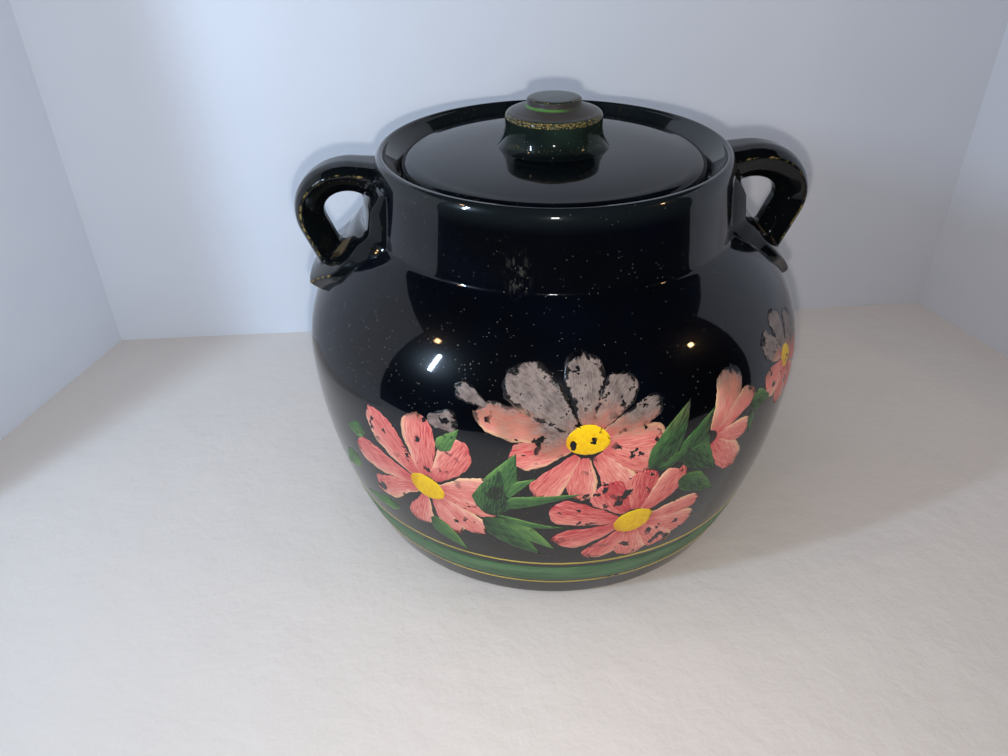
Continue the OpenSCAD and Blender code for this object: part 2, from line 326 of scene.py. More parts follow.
# %% Bare rings
def bare_ring(name, start, end, z, thickness, body_name):
    """A closed flat ring: the track from radius start to end at height z, and back along
    it at height z + thickness, turned about the axis. A ring on the underside of its
    piece runs inward and its thickness is negative, so that it still faces outward."""
    track = resampled([(start, z), (end, z)], 1)
    ring = turned(name, np.vstack([track, (track + [0, thickness])[::-1]]))
    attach(ring, body_name)
    return ring


bare_pieces = [
    bare_ring("foot_ring_bare", hollow_r + 0.4, STAND_R + 0.6, 0, 0.15, "pot"),
    bare_ring("seat_bare", LEDGE_R + 1.2, WELL_R - 3, SEAT_Z - 0.12, 0.12, "pot"),
]
print("bare rings on the pot:", len(bare_pieces))

# %% [markdown]
# ## The lid and its knob
# The lid is a flat disc with a full, pillowed edge. It drops inside the neck and has a
# locating rim below. The knob is turned separately: a drum that flares into the lid, a
# worn upper edge, a sloping shoulder, and a button. Both are profiles turned as before.

# %% Lid and knob
LID_R, LID_T, RIM_H, RIM_T, RIM_GAP = 60.7, 6.0, 7.0, 5.0, 1.5
SIDE_R, SIDE_Z, FACE_Z, DOME = 62.2, 160.6, 166.5, 3.4
EDGE_IN, FACE_IN = 5.2, 5.6
KNOB_R, KNOB_H, BUTTON_R, SLOPE, BUTTON_H, FLARE = 19.6, 13.6, 11.1, 2.3, 3.1, 3.5
BUTTON_FOOT, KNOB_TOP = KNOB_H + SLOPE, KNOB_H + SLOPE + BUTTON_H
base_z = SEAT_Z + 0.2
rim_r = LEDGE_R - RIM_GAP


def dome(r):
    """Height of the lid's face: FACE_Z less DOME times (r / LID_R)^3.5, which is nearly
    flat in the middle and falls away to the edge."""
    return FACE_Z - DOME * (np.asarray(r) / LID_R) ** 3.5


face_r = np.linspace(SIDE_R - FACE_IN, 0, 40)
edge_up = float(dome(face_r[0] + 0.4)) - SIDE_Z
lid_profile = np.vstack([
    softened([(0, FACE_Z - LID_T), (rim_r - RIM_T - 4, FACE_Z - LID_T - 0.6),
              (rim_r - RIM_T, base_z - 1.5), (rim_r - RIM_T, base_z - RIM_H),
              (rim_r, base_z - RIM_H), (rim_r, base_z), (LID_R - 0.4, base_z),
              (SIDE_R, SIDE_Z - 0.6)], 1.2),
    arc((0, 0), 1, 0, 78, 16) * [EDGE_IN, edge_up] + [SIDE_R - EDGE_IN, SIDE_Z],
    np.column_stack([face_r, dome(face_r)]),
])
lid = turned("lid_glazed", resampled(lid_profile, 2.0), 192)
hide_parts("lid_disc")
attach(lid, "lid")

knob_z = float(dome(KNOB_R + FLARE))
side_z = np.linspace(0, KNOB_H - 2.2, 18)
knob_profile = np.vstack([
    [(0, -1.0), (KNOB_R + FLARE + 0.4, -0.4)],
    np.column_stack([KNOB_R + FLARE * (1 - side_z / KNOB_H) ** 3.4, side_z]),
    arc((KNOB_R - 2, KNOB_H - 2), 2, 8, 66, 8),
    softened([(KNOB_R - 3, KNOB_H + 0.2), (BUTTON_R + 1.0, BUTTON_FOOT - 0.2),
              (BUTTON_R, BUTTON_FOOT + 0.5), (BUTTON_R - 0.2, KNOB_TOP - 0.6),
              (BUTTON_R - 1.1, KNOB_TOP - 0.1)], 0.9),
    [(BUTTON_R - 3, KNOB_TOP), (0, KNOB_TOP + 0.1)],
]) + [0, knob_z]
knob = turned("knob_glazed", resampled(knob_profile, 1.0), 160)
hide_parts("lid_knob")
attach(knob, "lid")
bare_pieces.append(
    bare_ring("lid_seat_bare", LID_R - 4.6, rim_r + 1, base_z + 0.1, -0.14, "lid"))
print("lid and knob reach", round(knob_profile[:, 1].max(), 2), "mm")

# %% [markdown]
# ## The handles
# Each handle is a flat strap bent like a question mark. Its root and its foot are
# luted to a thin backing plate that hugs neck and shoulder and ends in a blunt spur.
# The strap is a bevelled outline carried along an elliptical bend; the plate is a
# sheet of points measured out from the wall. A voxel remesh joins the two into one
# skin, as wet clay joins, and smoothing leaves the small fillets that glaze pools in.
# Two handles pulled by hand never match, so the right one reaches further and is
# thicker, and its spur is thinner and longer.

# %% Strap outline and path
BEND_X, BEND_Z, REACH, RISE = NECK_R + 8.5, CREASE_Z + 6.1, 18.0, 15.8
STRAP_W, ROOT_W, ROOT_T, OUTER_BEVEL, INNER_BEVEL = 20.0, 28.0, 5.0, 5.5, 4.0
PLATE_W, EAR_W, WAIST_W, SPUR_W, PLATE_T = 62.0, 65.0, 58.0, 27.0, 4.6
FULLER, LEAN, BEND_TOP, BEND_END, FOOT_RUN = 1.2, 3.0, 97, -19, 20
ROOT_STEPS, BEND_STEPS, FOOT_STEPS = 8, 44, 7
NECK_TOP, PLATE_SUNK = LIP_Z - 9, -1.5
# (further reach, strap's thickness, spur's thickness, spur's end above the belly)
LEFT_HAND, RIGHT_HAND = (0.0, 11.0, 5.8, 26.4), (1.7, 12.6, 3.0, 23.0)


def strap_outline(width, extra, thick):
    """The outline of the strap, corners slightly rounded: a crowned outer face, sides
    that lean in towards the pot, and a full inner face."""
    h, top, low = width / 2, thick / 2, -thick / 2 - extra - FULLER
    half = np.array([(0, top), (h - 1.5 * OUTER_BEVEL, top),
                     (h - 0.7 * OUTER_BEVEL, top - 0.2 * OUTER_BEVEL),
                     (h, top - 0.6 * OUTER_BEVEL), (h - LEAN, low + 1.1 * INNER_BEVEL),
                     (h - LEAN - INNER_BEVEL, low), (0, low)])
    ring = np.vstack([half, half[-2:0:-1] * [-1, 1], half[:1]])
    return softened(ring, 1.1, 4)[:-1]


def strap_path(further):
    """Stations of the strap: straight and slightly uphill out of the neck, round the
    ellipse from BEND_TOP to BEND_END degrees, and straight on into the shoulder. The
    root is wide and thick, and both fall away along it by powers of the distance."""
    th = np.radians(np.linspace(BEND_TOP, BEND_END, BEND_STEPS))
    bend = np.column_stack([BEND_X + (REACH + further) * np.cos(th), BEND_Z + RISE * np.sin(th)])
    turn = np.arctan2(-RISE * np.cos(th), (REACH + further) * np.sin(th))
    root_x = np.linspace(NECK_R - NECK_TAPER - 3, bend[0, 0], ROOT_STEPS + 1)[:-1]
    root = np.column_stack([root_x, bend[0, 1] - (bend[0, 0] - root_x) * math.tan(turn[0])])
    onward = np.linspace(0, FOOT_RUN, FOOT_STEPS + 1)[1:, None]
    foot = bend[-1] + onward * [math.cos(turn[-1]), math.sin(turn[-1])]
    flare = (1 - np.arange(ROOT_STEPS) / ROOT_STEPS) ** 1.6
    narrowing = np.maximum(0, 1 - 1.4 * np.linspace(0, 1, BEND_STEPS))
    wide = np.concatenate([0.6 + 0.4 * flare, 0.6 * narrowing, np.zeros(FOOT_STEPS)])
    turns = np.pad(turn, (ROOT_STEPS, FOOT_STEPS), mode="edge")
    return (np.vstack([root, bend, foot]), turns, STRAP_W + (ROOT_W - STRAP_W) * wide,
            np.pad(ROOT_T * flare, (0, BEND_STEPS + FOOT_STEPS)))


def strap_points(further, thick):
    """Rings of the strap: at each station the outline's first axis lies along Y and its
    second points out of the bend."""
    place, turn, width, extra = strap_path(further)
    rings = np.stack([strap_outline(w, e, thick) for w, e in zip(width, extra)])
    x = place[:, 0, None] - rings[:, :, 1] * np.sin(turn)[:, None]
    z = place[:, 1, None] + rings[:, :, 1] * np.cos(turn)[:, None]
    return np.stack([x, rings[:, :, 0], z], axis=-1)


# %% Backing plate
def plate_tracks(spur_t, spur_rise, rows=110):
    """Two matching tracks of (radius, height) up the shoulder, through the crease and up
    the neck: one inside the wall, and one on the plate's face."""
    th = np.linspace(math.asin(spur_rise / SHOULDER_B), SHOULDER_END - math.radians(5), 30)
    thick = np.interp(np.linspace(0, 1, 30), [0, 0.5, 0.8, 1], [spur_t, 3, 3, PLATE_T])
    back, face = [np.vstack([ellipse(SHOULDER_A, SHOULDER_B, th, low), crease_arc(high, 4),
                             [neck_point(NECK_TOP, high), neck_point(LIP_Z - 0.4, end)]])
                  for low, high, end in ((PLATE_SUNK,) * 3, (thick, PLATE_T, 1.5))]
    run = run_of(face)
    at = np.linspace(0, run[-1], rows)
    return [np.column_stack(read_off(at, run, track)) for track in (back, face)]


def plate_half(radius, tip_x):
    """Half the plate's width at a distance from the axis. Its side, seen from above, is a
    chain of (x, y) corners, and each point of the chain lies sqrt(x^2 + y^2) away."""
    run = tip_x - NECK_R
    side = resampled([(NECK_R / 2, PLATE_W / 2), (NECK_R - 4, PLATE_W / 2),
                      (NECK_R + 0.02 * run, EAR_W / 2), (NECK_R + 0.3 * run, WAIST_W / 2),
                      (NECK_R + 0.6 * run, WAIST_W / 2 - 0.1 * run), (tip_x, SPUR_W / 2)], 0.5)
    return np.interp(radius, np.hypot(side[:, 0], side[:, 1]), side[:, 1])


def plate_points(spur_t, spur_rise, cols=81):
    """The plate's skin as a closed grid. Column u in -1..1 runs across at half-width w;
    the face stands off the back by a share that falls off in a bevel at both sides, wide
    at the ears and narrow on the neck, and less at the spur's end and the top edge."""
    back, face = plate_tracks(spur_t, spur_rise)
    half = plate_half(face[:, 0], face[0, 0])
    half = np.convolve(np.pad(half, 2, mode="edge"), np.ones(5) / 5, mode="valid")
    u = np.sin(np.linspace(-1, 1, cols) * np.pi / 2)
    end = np.linspace(0, 1, len(face))
    tip = 1 - np.clip(1 - end / 0.02, 0, 1) ** 3
    top = 1 - 0.5 * np.clip(1 - (1 - end) / 0.03, 0, 1) ** 2
    ear = np.exp(-(((face[:, 0] - NECK_R - 7) / 7) ** 2))
    bevel = (0.05 + 0.2 * ear)[:, None]
    share = (tip * top)[:, None] * np.clip((1 - np.abs(u))[None, :] / bevel, 0, 1) ** 0.75
    track = back[:, None] + (face - back)[:, None] * share[..., None]

    def spread(rz):
        angle = np.arcsin(np.clip(u[None, :] * half[:, None] / rz[..., 0], -1, 1))
        return swung(rz[..., 0], rz[..., 1], angle)

    return spread(track), spread(back[:, None] - [1.0, 0.6])


# %% Join strap and plate
def handle_mesh(name, further, thick, spur_t, spur_rise):
    """Strap and plate as closed shells in one mesh, remeshed to one smooth skin."""
    strap = strap_points(further, thick)
    n, m = strap.shape[:2]
    points = strap.reshape(-1, 3)
    faces = list(grid_faces(n, m, wrap_cols=True)[:, ::-1])
    faces += [range(m), range(n * m - 1, (n - 1) * m - 1, -1)]
    front, back = plate_points(spur_t, spur_rise)
    faces += list(shell_faces(*front.shape[:2]) + len(points))
    made = new_mesh(name, np.vstack([points, front.reshape(-1, 3), back.reshape(-1, 3)]), faces)
    for kind, settings in (("REMESH", {"mode": "VOXEL", "voxel_size": 0.65 * MM}),
                           ("SMOOTH", {"factor": 0.5, "iterations": 4})):
        step = made.modifiers.new(kind.lower(), kind)
        for key, value in settings.items():
            setattr(step, key, value)
    solid = bpy.data.meshes.new_from_object(made.evaluated_get(
        bpy.context.evaluated_depsgraph_get()))
    made.modifiers.clear()
    made.data = solid
    return made


def vectors(collection, key):
    """One vector of every item in a mesh's collection, as an n x 3 array."""
    values = np.empty(len(collection) * 3, np.float32)
    collection.foreach_get(key, values)
    return values.reshape(-1, 3).astype(float)


def mark_ridges(mesh, rounds=3):
    """Stores how far each point stands out of the mean of its neighbours, along the
    normal and in millimetres, as the attribute "ridge". It is above 0 on a ridge."""
    pairs = np.empty(len(mesh.edges) * 2, np.int32)
    mesh.edges.foreach_get("vertices", pairs)
    a, b = pairs.reshape(-1, 2).T
    count = np.bincount(pairs, minlength=len(mesh.vertices))[:, None]

    def around(values):
        total = np.zeros_like(values)
        np.add.at(total, a, values[b])
        np.add.at(total, b, values[a])
        return total / count

    place, normal = vectors(mesh.vertices, "co"), vectors(mesh.vertex_normals, "vector")
    ridge = ((place - around(around(place))) * normal).sum(axis=1, keepdims=True) / MM
    for _ in range(rounds):
        ridge = (ridge + around(ridge)) / 2
    stored = mesh.attributes.new("ridge", "FLOAT", "POINT")
    stored.data.foreach_set("value", ridge.astype(np.float32).ravel())
    return ridge


right_handle = handle_mesh("right_handle_glazed", *RIGHT_HAND)
left_handle = handle_mesh("left_handle_glazed", *LEFT_HAND)
mirrored = vectors(left_handle.data.vertices, "co") * [-1, 1, 1]
left_handle.data.vertices.foreach_set("co", mirrored.astype(np.float32).ravel())
left_handle.data.flip_normals()
for handle in (left_handle, right_handle):
    mesh = handle.data
    mesh.polygons.foreach_set("use_smooth", np.full(len(mesh.polygons), True))
    ridges = mark_ridges(mesh)
    print(handle.name, len(mesh.polygons), "faces, sharpest ridges",
          np.percentile(ridges, [50, 80, 90, 95, 99]).round(4), "mm")
for handle, node in ((right_handle, "right_handle"), (left_handle, "left_handle")):
    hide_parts(node)
    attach(handle, "pot")

# %% [markdown]
# ## Painting on a curved wall
# A flower is painted with single strokes of a loaded brush, so it is built the same
# way. A place on the wall is an azimuth and a length of arc up from the foot. A stroke
# is a small flat shape in millimetres, laid onto the wall by that pair of numbers, and
# made into a closed film that stands a tenth of a millimetre proud. Later strokes lie
# higher.


# %% Strokes
# a film's back below the wall, a stroke's bend, its ragged tip, and a step of the brush
# coordinate that gives every stroke streaks of its own
FILM_SUNK, SAG, FRAYED_TIP, APART = -0.12, 0.5, 9.0, 90
outer_wall = np.vstack([wall[:1] * [1, 0], wall])
outer_run = run_of(outer_wall)
outer_step = np.gradient(outer_wall[1:], axis=0)
outer_normal = unit(np.column_stack([outer_step[:, 1], -outer_step[:, 0]]))
outer_normal = np.vstack([outer_normal[:1], outer_normal])


def on_wall(azimuth, length, out):
    """Places on the outer wall: azimuth in radians, length of arc up from the foot, and
    a distance out along the normal, all arrays of one shape."""
    r, z = read_off(length, outer_run, outer_wall)
    nr, nz = read_off(length, outer_run, outer_normal)
    return swung(r + out * nr, z + out * nz, azimuth)


def petal_shape(t):
    """Half-width of a petal at share t of its length: 0.3 plus a rise like t^0.8 up to
    0.62, closed over the last quarter by the round end of the brush."""
    widening = 0.3 + 0.78 * np.clip(t / 0.62, 0, 1) ** 0.8
    return widening * np.sqrt(1 - np.clip((t - 0.74) / 0.26, 0, 1) ** 3.2)


def leaf_shape(t):
    """Half-width of a leaf: blunt where the brush is set down, pointed where it lifts."""
    return np.sqrt(np.clip(t / 0.3, 0, 1)) * (1 - np.clip((t - 0.25) / 0.75, 0, 1) ** 1.5)


def disc_shape(t):
    """Half-width of a disc: a circle on its diameter."""
    return np.sqrt(np.clip(1 - (2 * t - 1) ** 2, 0, 1))


def painted(name, strokes, shape, height, rise, rows=30, cols=17, ragged=0.07, seed=1):
    """Strokes as closed films in one mesh. A stroke is (azimuth and arc length of its
    origin, start, end, direction, width, tone): it runs from start to end millimetres
    from the origin. Along t and across v in -1..1 give a grid, whose top lies height
    plus rise times its number above the glaze and whose back lies in the wall. Sides
    and end are ragged, and each stroke bends a little. Stored with every point are its
    place under the brush in millimetres, and its shares t and (v + 1) / 2 and tone."""
    place, low, start, reach, turn, width, tone = np.array(strokes, float).T[..., None, None]
    count = len(place)
    number = np.arange(count)[:, None, None]
    rng = np.random.default_rng(seed)
    t = (1 - np.cos(np.linspace(0, np.pi, rows)))[:, None] / 2
    v = np.linspace(-1, 1, cols)
    wobble = np.cumsum(rng.normal(0, 1, (count, rows, 2)), axis=1)
    wobble = ragged * (wobble - wobble.mean(axis=1, keepdims=True)) / 2
    half = width / 2 * shape(t) * (1 + np.where(v < 0, wobble[..., :1], wobble[..., 1:]))
    tip = ragged * FRAYED_TIP * rng.normal(0, 1, (count, 1, cols)) * t**4
    along = start + (reach - start) * t + tip
    across = half * v + rng.normal(0, SAG, (count, 1, 1)) * np.sin(np.pi * t)
    turn = np.radians(turn)
    length = low + along * np.sin(turn) + across * np.cos(turn)
    sideways = along * np.cos(turn) - across * np.sin(turn)
    azimuth = np.radians(place) + sideways / read_off(length, outer_run, outer_wall)[0]
    ends = np.minimum(1, np.minimum(t, 1 - t) * 30 + 0.2)
    out = (height + rise * number) * np.sqrt(np.clip(1 - v**6, 0, 1)) * ends
    top = on_wall(azimuth, length, out)
    back = on_wall(azimuth, length, np.full_like(out, FILM_SUNK))
    points = np.stack([top, back], axis=1).reshape(-1, 3)
    faces = shell_faces(rows, cols)[:, ::-1] + number * 2 * rows * cols
    made = new_mesh(name, points, faces.reshape(-1, 4))
    brush = (along + APART * number, across, 0)
    share = (t, (v + 1) / 2, tone)
    for label, values in (("brush", brush), ("share", share)):
        both = np.empty((count, 2, rows, cols, 3), np.float32)
        for axis, value in enumerate(values):
            both[..., axis] = np.broadcast_to(value, (count, rows, cols))[:, None]
        stored = made.data.attributes.new(label, "FLOAT_VECTOR", "POINT")
        stored.data.foreach_set("vector", both.ravel())
    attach(made, "pot")
    return made


# %% [markdown]
# ## Daisies and leaves
# Each flower is a centre and its petals, every petal a direction, a reach and a width.
# The painter set the flowers in a loose garland across the front, each one tipped to
# follow it, with leaves pushed in between. A tone of 0 is pale, 1 is a full crimson, and
# 2 marks a stroke that is painted grey: faded paint, and partly a painted sheen of the
# left lamp's glare.

# %% The garland
# (azimuth and arc length of the centre), petals' start, (direction, reach, width, tone)
FLOWERS = [
    ((-90.5, 98.6), 6.5, [
        (92, 31, 13, 0.3), (57, 27, 12, 0.3), (24, 29, 9, 0.4), (-3, 27, 11, 0.4),
        (-28, 28, 11, 0.5), (-56, 26, 11, 0.3), (-94, 26, 10, 0.5), (-125, 30, 10, 0.6),
        (-163, 28, 11, 0.6), (167, 40, 11, 0.4), (135, 36, 16, 0.3)]),
    ((-122.9, 68.1), 6.0, [
        (133, 37, 13, 0.6), (58, 31, 12, 0.6), (94, 33, 14, 0.6), (12, 27, 12, 0.4),
        (-13, 28, 8, 0.4), (-42, 28, 11, 0.4), (-65, 25, 10, 0.3), (-107, 25, 10, 0.5),
        (-151, 32, 11, 0.5), (175, 37, 12, 0.6)]),
    ((-64.7, 89.5), 3.0, [
        (66, 26, 12, 0.2), (27, 25, 8, 0.4), (-9, 21, 9, 0.4), (-51, 26, 11, 0.5)]),
    ((-37.0, 101.5), 4.0, [
        (95, 20, 12, 0.3), (45, 19, 11, 0.4), (-10, 18, 11, 0.4), (-60, 18, 11, 0.5),
        (-115, 18, 11, 0.5), (-165, 20, 11, 0.4), (140, 21, 11, 0.3)]),
    ((-79.9, 56.9), 6.5, [
        (121, 25, 13, 1.0), (87, 25, 12, 0.9), (54, 28, 12, 0.6), (3, 29, 9, 0.5),
        (-22, 29, 12, 0.4), (-52, 26, 12, 0.4), (-84, 24, 12, 0.4), (-123, 25, 11, 0.7),
        (-163, 30, 11, 0.8), (164, 33, 12, 0.8)]),
]
petals = [(*centre, start, reach, direction, width, tone)
          for centre, start, rays in FLOWERS for direction, reach, width, tone in rays]
# two strokes painted grey: faded paint, and partly a painted sheen of the left lamp's glare
petals += [(-109.8, 110.0, 0, 12, 157, 6, 2.0), (-121.7, 101.0, 0, 11, 2, 9, 2.0)]
# (azimuth, arc length, reach, direction, width, tone)
LEAVES = [
    (-133.2, 45.0, 24, -167, 8, 0.2), (-144.7, 62.4, 21, -137, 10, 0.2),
    (-139.2, 82.5, 14, -162, 8, 0.4), (-123.3, 49.9, 21, -52, 11, 0.4),
    (-119.3, 89.0, 13, 53, 7, 0.1), (-106.3, 59.1, 25, -42, 9, 0.1),
    (-107.9, 61.3, 26, -11, 4, 0.5), (-109.4, 66.5, 36, 14, 6, 0.6),
    (-109.4, 69.5, 22, 37, 7, 0.3), (-110.6, 59.1, 29, -45, 14, 0.8),
    (-108.6, 68.9, 26, 70, 13, 0.5), (-76.3, 81.5, 16, 31, 5, 0.7),
    (-77.8, 83.0, 29, 59, 13, 0.8), (-70.9, 74.4, 24, -37, 11, 0.7),
    (-72.0, 83.1, 24, 51, 10, 0.9), (-70.2, 89.5, 23, -48, 13, 0.9),
    (-53.1, 92.0, 10, -85, 4, 0.6), (-53.2, 95.6, 14, -12, 9, 0.7),
    (-109.6, 61.0, 25, 78, 16, 0.9), (-64.9, 90.5, 9, -160, 8, 0.8),
]
leaves = [(azimuth, length, 0, *rest) for azimuth, length, *rest in LEAVES]
discs = [(-90.5, 98.6, -7.7, 7.7, 0, 11.5, 0), (-122.9, 68.1, -7.6, 7.6, -20, 11.8, 0),
         (-79.9, 56.9, -7.8, 7.8, 22, 12.8, 0), (-37.0, 101.5, -5, 5, 10, 9, 0)]
petal_film = painted("petals", petals, petal_shape, 0.045, 0.0012, ragged=0.09)
leaf_film = painted("leaves", leaves, leaf_shape, 0.11, 0.002, ragged=0.04, seed=2)
disc_film = painted("flower_discs", discs, disc_shape, 0.13, 0.0, cols=25,
                    ragged=0.02, seed=3)
print("paint:", len(petals), "petals,", len(leaves), "leaves,", len(discs), "discs")


# %% Bands round the foot
def painted_band(name, low, high, height, seed):
    """A band painted while the pot turns on a wheel: a film between two arc lengths,
    whose edges wander by a sum of three slow waves."""
    rng = np.random.default_rng(seed)
    rows, cols = 9, 360
    a = np.linspace(0, 2 * np.pi, cols, endpoint=False)
    waves, phase = np.array([1, 3, 7]), rng.uniform(0, 6, (2, 3, 1))
    depth = np.array([0.25, 0.1, 0.06])[None, :, None]
    wander = (depth * np.sin(waves[:, None] * a + phase)).sum(axis=1)
    share = np.linspace(0, 1, rows)[:, None]
    length = (low + wander[0]) * (1 - share) + (high + wander[1]) * share
    azimuth = np.broadcast_to(a, length.shape)
    top, back = [on_wall(azimuth, length, np.full_like(length, out)) for out in (height, FILM_SUNK)]
    ring = np.vstack([top, back[::-1]])
    made = new_mesh(name, ring.reshape(-1, 3), grid_faces(2 * rows, cols, True, True))
    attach(made, "pot")
    return made


green_band = painted_band("green_band", 15.2, 27.4, 0.05, 4)
gold_bands = [painted_band("gold_line_low", 12.5, 13.6, 0.06, 5),
              painted_band("gold_line_high", 29.7, 30.9, 0.06, 6)]
print("bands round the foot:", 1 + len(gold_bands))

# %% [markdown]
# ## Writing shaders as sums
# A shader network is arithmetic, so it is written as arithmetic. A Link is one output
# socket; adding, multiplying or comparing links makes the Math nodes. Every other node
# comes from one method, add, which takes the node's kind, its settings and its inputs.
# A Finish is a material, and its methods name the few steps that all finishes share.


# %% Shader helpers
def operator(operation, swapped=False):
    """A method that adds one Math node; swapped puts the other value first."""
    def method(self, other=0):
        first, second = (other, self) if swapped else (self, other)
        return self.maker.add("Math", {"operation": operation}, {0: first, 1: second})
    return method


class Link:
    """One output socket, with arithmetic that adds Math nodes to its material."""

    def __init__(self, maker, socket):
        self.maker, self.socket = maker, socket

    __add__, __radd__ = operator("ADD"), operator("ADD", swapped=True)
    __sub__, __rsub__ = operator("SUBTRACT"), operator("SUBTRACT", swapped=True)
    __mul__, __rmul__ = operator("MULTIPLY"), operator("MULTIPLY", swapped=True)
    __gt__, __lt__ = operator("GREATER_THAN"), operator("LESS_THAN")
    __abs__, least = operator("ABSOLUTE"), operator("MINIMUM")


class Nodes:
    """A node tree under construction."""

    def __init__(self, tree):
        self.tree = tree

    def add(self, kind, settings, inputs, output=0):
        """A node of that kind. Settings, such as a Math node's operation, are set first.
        Inputs are numbers, colours or Links, by socket name or number."""
        node = self.tree.nodes.new("ShaderNode" + kind)
        for key, value in settings.items():
            setattr(node, key, value)
        for key, value in inputs.items():
            self.feed(node.inputs[key], value)
        return Link(self, node.outputs[output])

    def feed(self, socket, value):
        """Links a Link to the socket, or sets the socket to a number or a colour."""
        if isinstance(value, Link):
            self.tree.links.new(value.socket, socket)
        elif hasattr(value, "__len__") and hasattr(socket.default_value, "__len__"):
            socket.default_value = tuple(value)[:len(socket.default_value)]
        else:
            socket.default_value = value


class Finish(Nodes):
    """A material under construction, with a Principled shader at its end."""

    def __init__(self, name):
        self.material = bpy.data.materials.new(name)
        self.material.use_nodes = True
        super().__init__(self.material.node_tree)
        self.shader = self.tree.nodes["Principled BSDF"]
        self.place = self.add("TexCoord", {}, {}, "Object")

    def set(self, **values):
        """Feeds the end shader's sockets, with underscores for spaces."""
        for key, value in values.items():
            self.feed(self.shader.inputs[key.replace("_", " ")], value)

    def stored(self, name, output="Vector"):
        """An attribute stored in the piece's own mesh."""
        return self.add("Attribute", {"attribute_name": name}, {}, output)

    def noise(self, scale, detail=3, rough=0.5, at=None, stretch=(1, 1, 1), shift=(0, 0, 0)):
        """Soft noise of 0..1 about 1000 / scale millimetres across, read at the place on
        the piece, or at another vector, times stretch plus shift."""
        at = at or self.place
        if stretch != (1, 1, 1) or shift != (0, 0, 0):
            at = self.add("Mapping", {}, {"Vector": at, "Scale": stretch, "Location": shift})
        return self.add("TexNoise", {}, {"Vector": at, "Scale": scale, "Detail": detail,
                                         "Roughness": rough}, "Fac")

    def cells(self, scale, output):
        """Voronoi cells: the Distance to the nearest seed, or a Color for each cell."""
        return self.add("TexVoronoi", {}, {"Vector": self.place, "Scale": scale}, output)

    def step(self, value, low, high):
        """0 below low, 1 above high and a smooth rise between; reversed if low > high."""
        return self.add("MapRange", {"interpolation_type": "SMOOTHSTEP"},
                        {"Value": value, "From Min": low, "From Max": high})

    def blend(self, share, a, b):
        """Colour a where share is 0, b where it is 1."""
        return self.add("Mix", {"data_type": "RGBA"}, {0: share, 6: a, 7: b}, 2)

    def parts(self, vector):
        """The x, y and z of a vector, as three Links."""
        node = self.add("SeparateXYZ", {}, {0: vector}).socket.node
        return [Link(self, s) for s in node.outputs]

    def vector(self, operation, a, b=(0, 0, 0), output=0):
        """A Vector Math node. LENGTH and DISTANCE give a number, on the output Value."""
        return self.add("VectorMath", {"operation": operation}, {0: a, 1: b}, output)

    def bump(self, height, distance, below=None):
        """Tilts the normal as a relief of that height, distance millimetres deep."""
        inputs = {"Height": height, "Distance": distance * MM}
        if below is not None:
            inputs["Normal"] = below
        return self.add("Bump", {}, inputs)


def srgb(*values):
    """A colour given as 0..255 display values, made linear: ((v + 0.055) / 1.055)^2.4."""
    v = np.array(values, float) / 255
    linear = np.where(v <= 0.04045, v / 12.92, ((v + 0.055) / 1.055) ** 2.4)
    return (*linear.tolist(), 1.0)


# %% [markdown]
# ## Black glaze
# The glaze is a black glass over brown clay. It has two reflections: a sharp one, and
# a faint wide haze from a surface that years of washing have scratched, which is what
# spreads a glow round each lamp. Where glaze runs thin over an edge it breaks to brown
# and olive, and fine specks of ash and dust lie on it. Edges are found by how sharply
# the surface bends there, and the rest is worked out from the place on the pot. On the
# handles the brown to pale gold along the ridges is thin glaze, and also a painted
# highlight.


# %% Glaze material
SPECKS = ((480, 0.035, 0.12), (980, 0.24, 0.18))  # (cells a metre, share of cells, size)


def glaze_finish(name, tint, thin, specks=1.0, edges=0.0, gloss=0.5, haze=0.22, spread=0.27,
                 stains=None):
    """A black glaze. thin is a function of the Finish that says where the glaze breaks,
    edges says how much it breaks along ridges, in brown to pale gold that also serves as a
    painted highlight on them, and stains returns (share, colour, roughness) rows that lie
    over the glaze. haze and spread are the second reflection."""
    f = Finish(name)
    fine = f.noise(260, 4, 0.65)
    base = f.blend(f.step(f.noise(18, 3), 0.35, 0.7), srgb(3, 4, 7), srgb(*tint))
    # ridges are painted brown to pale gold: thin glaze, and a painted highlight along them
    ridge = f.step(f.stored("ridge", "Fac"), 0.055, 0.11) * edges
    breaking_and_ridge_highlight = thin(f) + ridge * f.step(f.noise(330, 4, 0.7), 0.32, 0.6)
    broken_and_ridge_highlight = f.step(breaking_and_ridge_highlight + (fine - 0.5) * 0.8, 0.35, 0.9)
    base = f.blend(broken_and_ridge_highlight, base, f.blend(f.noise(520, 2), srgb(60, 46, 20), srgb(158, 140, 86)))
    rough = 0.04 + 0.35 * broken_and_ridge_highlight
    for share, colour, matt in (stains(f) if stains else ()):
        base = f.blend(share, base, colour)
        rough = rough + share * matt
    patch = f.step(f.noise(16, 2, shift=(0.3, 0, 0)), 0.35, 0.75)
    speck = 0
    for scale, share, size in SPECKS:
        near = f.cells(scale, "Distance")
        lucky = f.parts(f.cells(scale, "Color"))[0]
        speck = f.step(near, size, size / 2) * (lucky > 1 - share * specks * (patch + 0.2)) + speck
    base = f.blend(speck.least(1) * 0.6, base, srgb(146, 142, 130))
    scuffs = f.step(f.noise(55, 4, 0.65, shift=(3, 1, 2)), 0.6, 0.8)
    dull = f.step(f.noise(9, 3, 0.6, shift=(1, 4, 0)), 0.4, 0.75)
    f.set(Base_Color=base, Roughness=rough + 0.02 * dull + 0.1 * scuffs * dull + 0.3 * speck)
    f.set(Specular_IOR_Level=gloss, Coat_Weight=haze, Coat_Roughness=spread, Coat_IOR=1.4)
    relief = f.bump(f.noise(34, 2), 0.10)
    relief = f.bump(f.noise(26, 6, 0.7, stretch=(1, 1, 14)), 0.006, below=relief)
    relief = f.bump(speck, 0.05, below=relief)
    f.set(Normal=relief)
    return f.material


